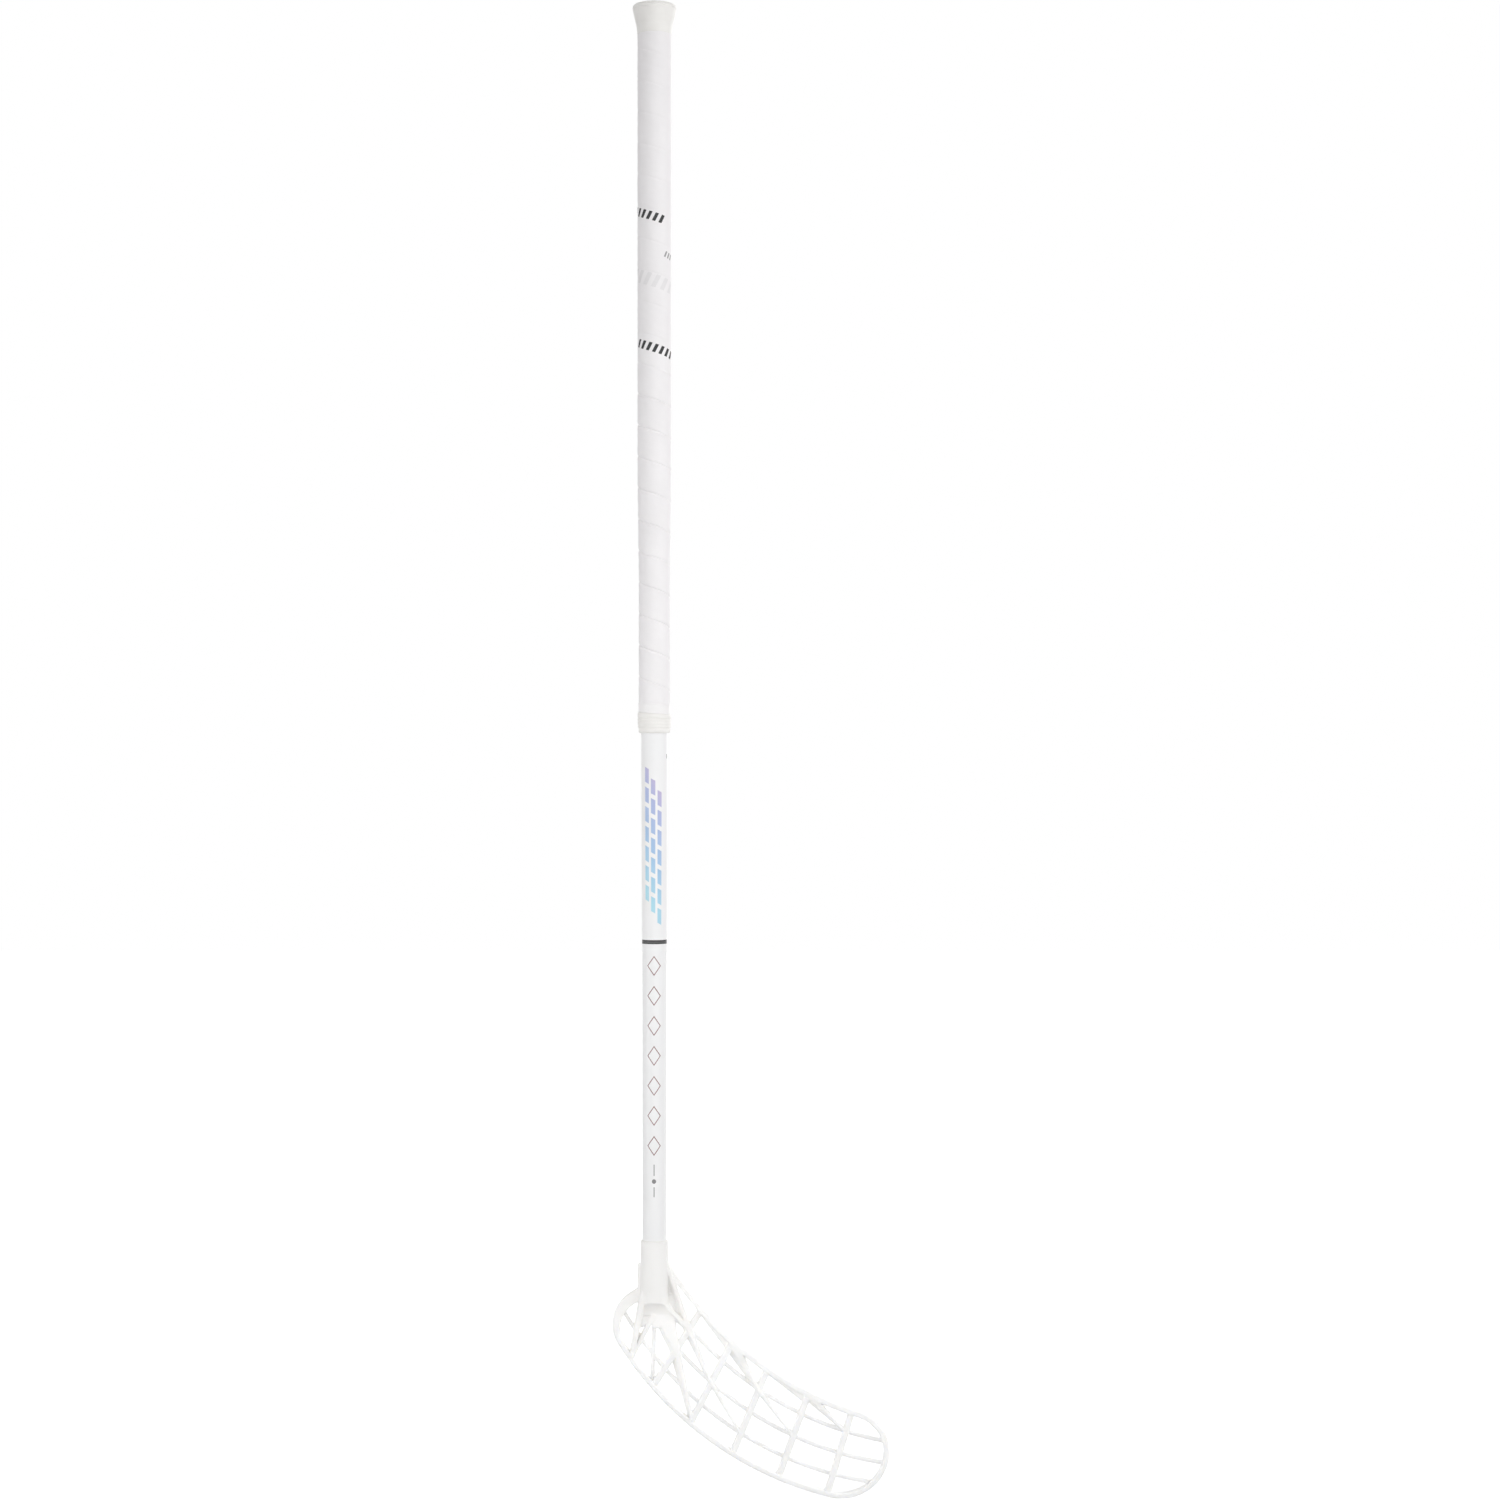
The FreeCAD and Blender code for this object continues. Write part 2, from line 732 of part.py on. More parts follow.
def make_hosel():
    rim_z = hosel_end_z + hosel_length
    root_z = hosel_end_z - hosel_root
    body = turned([(0, root_z), (hosel_radius, root_z), (rim_radius, rim_z), (0, rim_z)])
    for sense in (-1, 1):
        centre_y = sense * (scoop_radius + scoop_web / 2)
        start = Vector(-2 * hosel_radius, centre_y, hosel_end_z - scoop_radius)
        body = body.cut(Part.makeCylinder(scoop_radius, 4 * hosel_radius, start, Vector(1, 0, 0)))
    return body


def make_socket():
    """Room for the shaft's end round the spigot."""
    spigot = tip_radius - shaft_wall - spigot_clearance
    floor_z = hosel_end_z + socket_floor
    mouth_z = hosel_end_z + hosel_length
    return turned([
        (spigot, floor_z), (socket_radius, floor_z), (socket_radius, mouth_z), (0, mouth_z),
        (0, floor_z + spigot_length), (spigot, floor_z + spigot_length),
    ])


def make_blade():
    pieces = make_frame() + make_ribs() + make_bars() + make_webs() + make_neck() + make_struts()
    blade = make_hosel().fuse(pieces)
    return blade.cut(make_socket()).Solids[0]


def make_bond_sleeve():
    floor_z = hosel_end_z + socket_floor
    mouth_z = hosel_end_z + hosel_length
    return turned([
        (tip_radius, floor_z), (socket_radius, floor_z), (socket_radius, mouth_z), (tip_radius, mouth_z),
    ])


def main():
    os.makedirs("parts", exist_ok=True)
    nodes = {
        "shaft_tube": make_shaft_tube(),
        "butt_plug": make_butt_plug(),
        "knob_cap": make_knob_cap(),
        "grip_tape": make_grip_tape(),
        "finishing_tape": make_finishing_tape(),
        "finishing_band": make_finishing_band(),
        "bond_sleeve": make_bond_sleeve(),
        "blade": make_blade(),
    }
    for name, shape in nodes.items():
        shape.exportStep(f"parts/{name}.step")
        print(f"{name}: {len(shape.Solids)} solid, {shape.Volume / 1000:.2f} cm3, valid {shape.isValid()}")
    print(f"least gap between turns of the grip tape: {least_seam():.2f} mm")


main()
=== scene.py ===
# %% [markdown]
# # A floorball stick
# The solids of the stick come from its CAD model, already in place and in metres. This lesson dresses
# them: a lacquered tube, a soft wound grip with its rubber knob and band, and a moulded lattice blade.
# The first cell loads the solids and keeps their box, because the dressed stick has to stay in it.

# %% Load the solids
import math

import bmesh
import bpy
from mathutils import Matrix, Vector
from mathutils import noise as hills


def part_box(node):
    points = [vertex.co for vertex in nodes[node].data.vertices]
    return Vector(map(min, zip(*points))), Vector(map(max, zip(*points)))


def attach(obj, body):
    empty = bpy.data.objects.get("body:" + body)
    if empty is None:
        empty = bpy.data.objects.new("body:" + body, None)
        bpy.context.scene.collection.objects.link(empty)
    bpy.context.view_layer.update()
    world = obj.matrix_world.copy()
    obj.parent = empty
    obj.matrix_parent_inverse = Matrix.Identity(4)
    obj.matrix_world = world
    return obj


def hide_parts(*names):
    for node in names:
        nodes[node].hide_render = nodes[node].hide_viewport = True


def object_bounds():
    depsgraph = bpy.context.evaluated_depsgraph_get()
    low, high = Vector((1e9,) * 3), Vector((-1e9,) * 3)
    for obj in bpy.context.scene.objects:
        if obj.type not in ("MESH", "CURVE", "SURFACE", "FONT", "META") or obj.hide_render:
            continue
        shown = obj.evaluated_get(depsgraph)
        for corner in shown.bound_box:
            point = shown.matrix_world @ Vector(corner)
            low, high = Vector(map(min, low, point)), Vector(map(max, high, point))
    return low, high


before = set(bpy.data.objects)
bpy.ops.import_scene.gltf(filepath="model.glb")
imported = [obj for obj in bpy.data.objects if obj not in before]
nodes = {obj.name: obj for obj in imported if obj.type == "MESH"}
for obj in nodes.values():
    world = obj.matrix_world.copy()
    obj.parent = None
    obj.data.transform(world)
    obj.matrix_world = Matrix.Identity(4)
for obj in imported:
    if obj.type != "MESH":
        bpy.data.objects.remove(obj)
cad_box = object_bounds()
scene = bpy.context.scene
print("solids:", sorted(nodes))
print("CAD box:", [[round(v, 4) for v in corner] for corner in cad_box])

# %% [markdown]
# ## The camera
# The picture is taken square on, from a long way off, so the stick stands straight and its blade is
# seen flat. The shaft's known length, set against its length in pixels, gives the size of a pixel at
# the tube's axis. That fixes the lens once the distance is chosen, and the pixels of the axis and the
# butt give the camera's place.

# %% Camera
SHAFT_LENGTH = 1.040
FRAME_PIXELS = 1500
AXIS_PIXEL, BUTT_PIXEL, HOSEL_END_PIXEL = 654.4, 5, 1300
PIXEL = SHAFT_LENGTH / (HOSEL_END_PIXEL - BUTT_PIXEL)
BUTT_Z = cad_box[1][2]
DISTANCE = 2.4
SENSOR = 36

camera_data = bpy.data.cameras.new("camera")
camera_data.sensor_width = SENSOR
camera_data.lens = SENSOR * DISTANCE / (FRAME_PIXELS * PIXEL)
camera = bpy.data.objects.new("camera", camera_data)
camera.location = (
    (FRAME_PIXELS / 2 - AXIS_PIXEL) * PIXEL,
    -DISTANCE,
    BUTT_Z - (FRAME_PIXELS / 2 - BUTT_PIXEL) * PIXEL,
)
camera.rotation_euler = (math.radians(90), 0, 0)
scene.collection.objects.link(camera)
scene.camera = camera
print("lens:", round(camera_data.lens, 2), "mm, camera at", [round(v, 4) for v in camera.location])

# %% [markdown]
# ## Turned pieces
# Most of the stick is round: tube, plug, knob, tape, band and glue. Each starts as a flat profile, one
# face of a few corners beside the axis. Bevelling chosen corners rounds them, and a full spin turns the
# outline into a ring. A lathe modifier would do the same, but the spin leaves a plain mesh that can
# still be tilted or dented.

# %% Spin a profile
TURN = 2 * math.pi
MM = 0.001
TOUCHING = 1e-6


def turned(corners, rounded=(), steps=128):
    """Ring from a profile of (radius, height) corners in mm. rounded pairs corner numbers with radii."""
    bm = bmesh.new()
    verts = [bm.verts.new((r * MM, 0, z * MM)) for r, z in corners]
    bm.faces.new(verts)
    for number, radius in rounded:
        bmesh.ops.bevel(
            bm, geom=[verts[number]], offset=radius * MM, affect="VERTICES",
            segments=6, profile=0.5, material=-1,
        )
    bmesh.ops.delete(bm, geom=bm.faces[:], context="FACES_ONLY")
    bmesh.ops.spin(
        bm, geom=bm.verts[:] + bm.edges[:], axis=(0, 0, 1), cent=(0, 0, 0),
        angle=TURN, steps=steps, use_merge=True,
    )
    bmesh.ops.remove_doubles(bm, verts=bm.verts, dist=TOUCHING)
    bmesh.ops.dissolve_degenerate(bm, edges=bm.edges, dist=TOUCHING / 10)
    return bm


def add_piece(name, bm, node, finish, sharp=35):
    """Turns a finished bmesh into a piece that rides on the stick and stands for a CAD node."""
    bmesh.ops.recalc_face_normals(bm, faces=bm.faces)
    mesh = bpy.data.meshes.new(name)
    bm.to_mesh(mesh)
    bm.free()
    mesh.shade_smooth()
    mesh.set_sharp_from_angle(angle=math.radians(sharp))
    mesh.materials.append(finish)
    piece = bpy.data.objects.new(name, mesh)
    scene.collection.objects.link(piece)
    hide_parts(node)
    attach(piece, "root")
    print(name, "has", len(mesh.polygons), "faces")


# %% [markdown]
# ## Finishes
# All finishes are node materials on Object coordinates. The objects sit at the origin in metres, so
# these coordinates are real positions on the stick. A few small helpers keep the node code readable:
# one for sums, one for mixing colours, and one that gives the position round the shaft, in metres of
# arc from the front.

# %% Sums and colours
def start_finish(name, roughness, specular=0.5):
    """New material with its node tree and its main shader."""
    finish = bpy.data.materials.new(name)
    finish.use_nodes = True
    tree = finish.node_tree
    shader = tree.nodes["Principled BSDF"]
    shader.inputs["Roughness"].default_value = roughness
    shader.inputs["Specular IOR Level"].default_value = specular
    return finish, tree, shader


def calc(tree, operation, *values):
    """One sum: values are numbers or sockets."""
    node = tree.nodes.new("ShaderNodeMath")
    node.operation = operation
    for socket, value in zip(node.inputs, values):
        if isinstance(value, (int, float)):
            socket.default_value = value
        else:
            tree.links.new(value, socket)
    return node.outputs[0]


def mix(tree, share, first, second):
    """Colour mixed from two colours, each a triple or a socket."""
    node = tree.nodes.new("ShaderNodeMix")
    node.data_type = "RGBA"
    for socket, value in zip((node.inputs[0], node.inputs[6], node.inputs[7]), (share, first, second)):
        if isinstance(value, tuple):
            socket.default_value = (*value, 1)
        else:
            tree.links.new(value, socket)
    return node.outputs[2]


def ramp(tree, value, low, high, start, end):
    """Straight change from start to end as the value goes from low to high, held at both ends."""
    node = tree.nodes.new("ShaderNodeMapRange")
    for socket, number in zip(node.inputs[1:5], (low, high, start, end)):
        socket.default_value = number
    tree.links.new(value, node.inputs[0])
    return node.outputs[0]


# %% Places and relief
def object_place(tree):
    """Object coordinates."""
    return tree.nodes.new("ShaderNodeTexCoord").outputs["Object"]


def split_place(tree, coordinates):
    """x, y and z of a place."""
    split = tree.nodes.new("ShaderNodeSeparateXYZ")
    tree.links.new(coordinates, split.inputs[0])
    return split.outputs[:3]


def arc_from_front(tree, x, y, radius):
    """Metres round the shaft from its front line, positive to the right."""
    angle = calc(tree, "ARCTAN2", x, calc(tree, "MULTIPLY", y, -1.0))
    return calc(tree, "MULTIPLY", angle, radius)


def noise(tree, coordinates, scale, detail=3.0, stretch=(1, 1, 1)):
    """Noise from 0 to 1. A stretch below 1 draws it out along that axis."""
    mapping = tree.nodes.new("ShaderNodeMapping")
    mapping.inputs["Scale"].default_value = stretch
    tree.links.new(coordinates, mapping.inputs["Vector"])
    node = tree.nodes.new("ShaderNodeTexNoise")
    node.inputs["Scale"].default_value = scale
    node.inputs["Detail"].default_value = detail
    tree.links.new(mapping.outputs[0], node.inputs["Vector"])
    return node.outputs[0]


def bump(tree, shader, height, depth, strength):
    """Surface relief: a height from 0 to 1 stands for this depth in metres."""
    node = tree.nodes.new("ShaderNodeBump")
    node.inputs["Strength"].default_value = strength
    node.inputs["Distance"].default_value = depth
    tree.links.new(height, node.inputs["Height"])
    tree.links.new(node.outputs[0], shader.inputs["Normal"])


# %% [markdown]
# ## The tube's lacquer
# The tube is white under a clear lacquer, so it is the glossiest surface on the stick. The white is
# faintly clouded along the tube, where the fibres run, and the lacquer has a very fine ripple. Both are
# noise that is drawn out along the height.

# %% White lacquer
CLOUDED_WHITE, CLEAR_WHITE = (0.80, 0.80, 0.805), (0.825, 0.825, 0.828)
PRINT_RADIUS = 0.0102

lacquer, tree, shader = start_finish("white_lacquer", roughness=0.45, specular=0.35)
shader.inputs["Coat Weight"].default_value = 0.15
shader.inputs["Coat Roughness"].default_value = 0.3
coordinates = object_place(tree)
x, y, z = split_place(tree, coordinates)
arc = arc_from_front(tree, x, y, PRINT_RADIUS)
cloud = noise(tree, coordinates, 35.0, stretch=(1, 1, 0.3))
paint = mix(tree, cloud, CLOUDED_WHITE, CLEAR_WHITE)
tree.links.new(ramp(tree, cloud, 0.3, 0.7, 0.4, 0.48), shader.inputs["Roughness"])
ripple = noise(tree, coordinates, 260.0, stretch=(1, 1, 0.25))
bump(tree, shader, ripple, 0.00003, 0.5)
print("lacquer nodes before printing:", len(tree.nodes))

# %% [markdown]
# ## Printed marks on the tube
# The print is generic: three columns of slanted bars that run from violet to cyan, a black ring, a row
# of thin open lozenges, and a few fine marks. Each mark is a mask made of sums on the height and the
# arc, so no image is needed. Only whole bars show, because the mask counts bar steps instead of cutting
# at a height. A lozenge is the set of points whose distances from its middle, across and along, add up
# to one value.

# %% Slanted bars
BARS_TOP, BARS_END, BAR_PITCH = -0.3015, -0.4275, 0.0157
FIRST_BAR, LAST_BAR = math.ceil(BARS_END / BAR_PITCH), math.floor(BARS_TOP / BAR_PITCH)
BARS_LEFT, BARS_RIGHT, COLUMN_PITCH = -0.0076, 0.0080, 0.0052
BAR_SLANT, COLUMN_STAGGER = 0.55, 0.41
SHIMMER_PER_METRE = 18.0
SHIMMER = ((0.0, (0.32, 0.64, 0.76)), (0.35, (0.27, 0.47, 0.72)),
           (0.7, (0.33, 0.38, 0.66)), (1.0, (0.56, 0.38, 0.58)))


def within(tree, value, low, high):
    """1 where the value lies between two limits, otherwise 0."""
    above = calc(tree, "GREATER_THAN", value, low)
    below = calc(tree, "LESS_THAN", value, high)
    return calc(tree, "MULTIPLY", above, below)


def all_of(tree, mask, *others):
    """1 where every mask is 1."""
    for other in others:
        mask = calc(tree, "MULTIPLY", mask, other)
    return mask


def ink(tree, paint, mask, strength, colour):
    """Paint with a colour printed on it where the mask is 1."""
    return mix(tree, calc(tree, "MULTIPLY", mask, strength), paint, colour)


columns = calc(tree, "DIVIDE", calc(tree, "SUBTRACT", arc, BARS_LEFT), COLUMN_PITCH)
slanted = calc(tree, "MULTIPLY_ADD", arc, BAR_SLANT, z)
staggered = calc(tree, "MULTIPLY_ADD", calc(tree, "FLOOR", columns), COLUMN_STAGGER * BAR_PITCH, slanted)
steps_up = calc(tree, "DIVIDE", staggered, BAR_PITCH)
bars = all_of(
    tree,
    within(tree, calc(tree, "FRACT", steps_up), 0.12, 0.88),
    within(tree, calc(tree, "FRACT", columns), 0.0, 0.66),
    within(tree, arc, BARS_LEFT, BARS_RIGHT),
    within(tree, steps_up, FIRST_BAR, LAST_BAR),
)
shimmer = tree.nodes.new("ShaderNodeValToRGB")
stops = shimmer.color_ramp.elements
for position, _ in SHIMMER[1:-1]:
    stops.new(position)
for stop, (_, colour) in zip(stops, SHIMMER):
    stop.color = (*colour, 1)
upwards = ramp(tree, z, BARS_END, BARS_TOP, 0.0, 1.0)
tree.links.new(calc(tree, "MULTIPLY_ADD", arc, SHIMMER_PER_METRE, upwards), shimmer.inputs[0])
paint = ink(tree, paint, bars, 0.85, shimmer.outputs[0])
print("bar steps from", FIRST_BAR, "to", LAST_BAR)

# %% Ring and lozenges
RING, RING_CORE = (-0.4536, -0.4504), (-0.4526, -0.4516)
RING_BLACK, CORE_GREY = (0.013, 0.013, 0.013), (0.07, 0.07, 0.07)
LOZENGE_TOP, LOZENGE_END, LOZENGE_PITCH = -0.459, -0.627, 0.024
LOZENGE_STEEPNESS = 1.35
LOZENGE_LINE = (0.0068, 0.0080)
DARK_RED = (0.20, 0.055, 0.055)

paint = ink(tree, paint, within(tree, z, *RING), 1.0, RING_BLACK)
paint = ink(tree, paint, within(tree, z, *RING_CORE), 1.0, CORE_GREY)

rise = calc(tree, "SUBTRACT", z, LOZENGE_END)
step = calc(tree, "FRACT", calc(tree, "DIVIDE", rise, LOZENGE_PITCH))
from_middle = calc(tree, "ABSOLUTE", calc(tree, "SUBTRACT", step, 0.5))
along = calc(tree, "MULTIPLY", from_middle, LOZENGE_PITCH)
reach = calc(tree, "MULTIPLY_ADD", calc(tree, "ABSOLUTE", arc), LOZENGE_STEEPNESS, along)
lozenges = all_of(tree, within(tree, reach, *LOZENGE_LINE), within(tree, z, LOZENGE_END, LOZENGE_TOP))
paint = ink(tree, paint, lozenges, 0.9, DARK_RED)
print("lozenges:", round((LOZENGE_TOP - LOZENGE_END) / LOZENGE_PITCH))

# %% Fine marks
HAIRLINE_ARC, HAIRLINE_Z, HAIRLINE_GAP = (-0.0003, 0.0004), (-0.656, -0.630), (-0.648, -0.639)
DOT_Z, DOT_RADIUS = -0.6435, 0.0018
DASH_ARC, DASH_Z = (0.0118, 0.0128), (-0.3051, -0.3015)
FINE_INK = (0.06, 0.055, 0.055)

beside_gap = calc(tree, "SUBTRACT", 1.0, within(tree, z, *HAIRLINE_GAP))
hairline = all_of(tree, within(tree, arc, *HAIRLINE_ARC), within(tree, z, *HAIRLINE_Z), beside_gap)
squared_rise = calc(tree, "POWER", calc(tree, "SUBTRACT", z, DOT_Z), 2.0)
from_dot = calc(tree, "SQRT", calc(tree, "MULTIPLY_ADD", arc, arc, squared_rise))
dot = within(tree, from_dot, 0.0, DOT_RADIUS)
side_dash = all_of(tree, within(tree, arc, *DASH_ARC), within(tree, z, *DASH_Z))
fine_marks = calc(tree, "MAXIMUM", calc(tree, "MAXIMUM", hairline, dot), side_dash)
paint = ink(tree, paint, fine_marks, 0.8, FINE_INK)
tree.links.new(paint, shader.inputs["Base Color"])
print("lacquer nodes after printing:", len(tree.nodes))

# %% [markdown]
# ## The tube
# One closed ring of wall, thick at the butt, with a short taper under the grip and a long one below it.
# It could stay as the CAD solid, but that mesh has few facets round, and a glossy tube shows every one
# of them, so it is spun afresh. Profiles are given in millimetres, as a maker writes them, while the
# finishes and the grip use metres.

# %% Tube
BUTT_RADIUS, WAIST_RADIUS, TIP_RADIUS = 11.65, 10.65, 9.65
TUBE_TOP, TUBE_END = 294.5, -736.8
UPPER_TAPER, LOWER_TAPER = (-81, -159), (-302, -515)
WALL = 1.2

tube_outside = [
    (BUTT_RADIUS, TUBE_TOP), (BUTT_RADIUS, UPPER_TAPER[0]), (WAIST_RADIUS, UPPER_TAPER[1]),
    (WAIST_RADIUS, LOWER_TAPER[0]), (TIP_RADIUS, LOWER_TAPER[1]), (TIP_RADIUS, TUBE_END),
]
tube_inside = [(r - WALL, z) for r, z in reversed(tube_outside)]
add_piece("tube", turned(tube_outside + tube_inside), "shaft_tube", lacquer, sharp=40)

# %% [markdown]
# ## Rubber knob and plug
# The knob flares out to a rounded rim so that a hand can't slip off it. A shallow crease runs round it
# just below the rim, where the two halves of its mould met, and soft folds run round its neck. The
# rubber is warm white, matt, and picks up a little dust. The plug's plastic is matt and dusty too, so
# one function makes both.

# %% Matt moulded finish
def make_matt(name, light, dusty):
    """Matt finish in a light colour, with patches of a dusty one and a fine grain."""
    finish, tree, shader = start_finish(name, roughness=0.62, specular=0.35)
    coordinates = object_place(tree)
    dust = ramp(tree, noise(tree, coordinates, 120.0, detail=5.0), 0.4, 0.75, 0.0, 0.6)
    tree.links.new(mix(tree, dust, light, dusty), shader.inputs["Base Color"])
    tree.links.new(ramp(tree, dust, 0.0, 0.6, 0.55, 0.72), shader.inputs["Roughness"])
    bump(tree, shader, noise(tree, coordinates, 1400.0, detail=2.0), 0.00006, 0.6)
    return finish


rubber = make_matt("white_rubber", (0.835, 0.822, 0.80), (0.795, 0.78, 0.755))
plug_plastic = make_matt("plug_plastic", (0.80, 0.80, 0.785), (0.76, 0.755, 0.74))
print("matt finishes:", rubber.name, plug_plastic.name)

# %% Knob and plug
BUTT_FACE = 300
GLUE_GAP = 0.1
KNOB_RADIUS, KNOB_END, KNOB_TOP_THICKNESS = 17.5, 276.0, 3.0
PLUG_HEAD_RADIUS, PLUG_END = 8.0, 270.5

under_top = BUTT_FACE - KNOB_TOP_THICKNESS
knob_bore = BUTT_RADIUS + GLUE_GAP
knob_hole = PLUG_HEAD_RADIUS + GLUE_GAP
crease = [(KNOB_RADIUS, 296.8), (17.1, 296.3), (17.3, 295.7)]
flare = [(16.95, 294.0), (16.45, 291.4), (15.95, 289.2), (15.55, 287.8)]
folds = [(15.45, 287.2), (14.85, 284.9), (14.5, 283.6), (14.45, 282.9), (14.1, 281.0), (13.85, 278.3)]
lip = [(13.7, KNOB_END), (knob_bore, KNOB_END)]
knob_corners = [(knob_hole, BUTT_FACE), (KNOB_RADIUS, BUTT_FACE), *crease, *flare, *folds, *lip]
lip_corner = knob_corners.index(lip[0])
knob_corners += [(knob_bore, under_top), (knob_hole, under_top)]
knob_ring = turned(knob_corners, rounded=[(1, 3.0), (lip_corner, 0.15), (0, 0.4)])
add_piece("knob", knob_ring, "knob_cap", rubber)

stem_radius = BUTT_RADIUS - WALL - GLUE_GAP
plug_corners = [
    (0, BUTT_FACE), (PLUG_HEAD_RADIUS, BUTT_FACE), (PLUG_HEAD_RADIUS, under_top), (BUTT_RADIUS, under_top),
    (BUTT_RADIUS, TUBE_TOP), (stem_radius, TUBE_TOP), (stem_radius, PLUG_END), (0, PLUG_END),
]
plug_ring = turned(plug_corners, rounded=[(1, 0.5), (3, 0.3)])
add_piece("plug", plug_ring, "butt_plug", plug_plastic)

# %% [markdown]
# ## The wound grip
# The grip is one soft strip, wound down the tube in a spiral with its edges side by side, so a groove
# runs round and round. A stretched texture could fake that, but the groove has to show in the outline
# and from every side. So one section of the strip is spun many times round while it sinks by one pitch
# each turn. Where two turns touch, their side walls are left out, so the whole winding is one skin with
# a groove in it.

# %% Section of the strip
GRIP_TOP, GRIP_END = 0.276, -0.279
WINDS = 22
PITCH = (GRIP_TOP - GRIP_END) / WINDS
START = 0.1 * TURN
STRIP_INSIDE, STRIP_OUTSIDE = 0.01175, 0.0136
GROOVE_DEPTH, GROOVE_SIDE, SHOULDER = 0.0008, 0.0012, 0.0009

bm = bmesh.new()
low, high = GRIP_TOP, GRIP_TOP + PITCH
groove_floor = STRIP_OUTSIDE - GROOVE_DEPTH
section = [
    (STRIP_INSIDE, low), (groove_floor, low), (STRIP_OUTSIDE, low + GROOVE_SIDE),
    (STRIP_OUTSIDE, high - GROOVE_SIDE), (groove_floor, high), (STRIP_INSIDE, high),
]
verts = [bm.verts.new((r * math.cos(START), r * math.sin(START), z)) for r, z in section]
bm.faces.new(verts)
bmesh.ops.bevel(
    bm, geom=verts[2:4], offset=SHOULDER, affect="VERTICES", segments=5, profile=0.5, material=-1,
)
bmesh.ops.delete(bm, geom=bm.faces[:], context="FACES_ONLY")
outer_edges = [e for e in bm.edges if min(v.co.to_2d().length for v in e.verts) > STRIP_INSIDE + 1e-4]
broad = max(outer_edges, key=lambda e: e.calc_length())
bmesh.ops.subdivide_edges(bm, edges=[broad], cuts=11)
side_walls = [e for e in bm.edges if abs(e.verts[0].co.z - e.verts[1].co.z) < 1e-7]
bmesh.ops.delete(bm, geom=side_walls, context="EDGES")
print("grip: pitch", round(PITCH * 1000, 2), "mm, section of", len(bm.verts), "points")

# %% [markdown]
# One turn too many is wound, and then two flat cuts make both ends square and are closed. After that
# each point of the skin is pressed in where the tube below it tapers. The groove is nearly closed on
# the upper half, where the strip was wound tighter, and low noise gives the soft strip its wrinkles,
# which follow the winding.

# %% Wind the strip
STEPS_PER_TURN = 72

bmesh.ops.spin(
    bm, geom=bm.verts[:] + bm.edges[:], axis=(0, 0, 1), cent=(0, 0, 0),
    dvec=(0, 0, -PITCH / STEPS_PER_TURN),
    angle=TURN * (WINDS + 1), steps=STEPS_PER_TURN * (WINDS + 1),
)
bmesh.ops.remove_doubles(bm, verts=bm.verts, dist=2 * TOUCHING)
for height, up in ((GRIP_TOP, 1), (GRIP_END, -1)):
    bmesh.ops.bisect_plane(
        bm, geom=bm.verts[:] + bm.edges[:] + bm.faces[:], plane_co=(0, 0, height), plane_no=(0, 0, up),
        clear_outer=True,
    )
    rim = [e for e in bm.edges if e.is_boundary and abs(e.verts[0].co.z - height) < TOUCHING]
    bmesh.ops.bridge_loops(bm, edges=rim)
print("grip:", len(bm.verts), "points, open edges:", sum(e.is_boundary for e in bm.edges))

# %% Press it on and wrinkle it
TIGHT_FROM, TIGHT_OVER, TIGHT_CLOSING = -0.02, 0.05, 0.75
WRINKLE, WRINKLES_ROUND, WRINKLES_ALONG = 0.00016, 110, 300
SKIN_DEPTH = 1.2 * GROOVE_DEPTH


def clamped(share):
    """A share held between 0 and 1."""
    return min(max(share, 0), 1)


def taper_under_grip(z):
    """How far the tube has thinned at a height under the grip, in metres."""
    share = clamped((UPPER_TAPER[0] * MM - z) / ((UPPER_TAPER[0] - UPPER_TAPER[1]) * MM))
    return (BUTT_RADIUS - WAIST_RADIUS) * MM * share


for vert in bm.verts:
    x, y, z = vert.co
    radius = math.hypot(x, y)
    drop = STRIP_OUTSIDE - radius
    if drop < SKIN_DEPTH:
        drop *= 1 - TIGHT_CLOSING * clamped((z - TIGHT_FROM) / TIGHT_OVER)
        wound = z + PITCH * math.atan2(x, -y) / TURN
        place = (x * WRINKLES_ROUND, y * WRINKLES_ROUND, wound * WRINKLES_ALONG)
        drop += WRINKLE * (0.5 - hills.noise(place))
    scale = (STRIP_OUTSIDE - drop - taper_under_grip(z)) / radius
    vert.co.x *= scale
    vert.co.y *= scale
print("grip: tube thins by", round(taper_under_grip(GRIP_END) * 1000, 2), "mm under it")

# %% [markdown]
# The strip's skin is soft polyurethane: matt, cool white, with a fine pebble and a faint weave of the
# felt below. Rows of slanted ticks follow the winding: two broad black ones, a short small one at the
# right, and a pale one between them. A height that rises with the arc, by one pitch a turn, stays the
# same along the strip, so ticks that are cut from it by sums run down the spiral just as a printed
# strip would.

# %% Grip skin
COOL_WHITE, BRIGHT_WHITE = (0.83, 0.813, 0.822), (0.86, 0.843, 0.852)

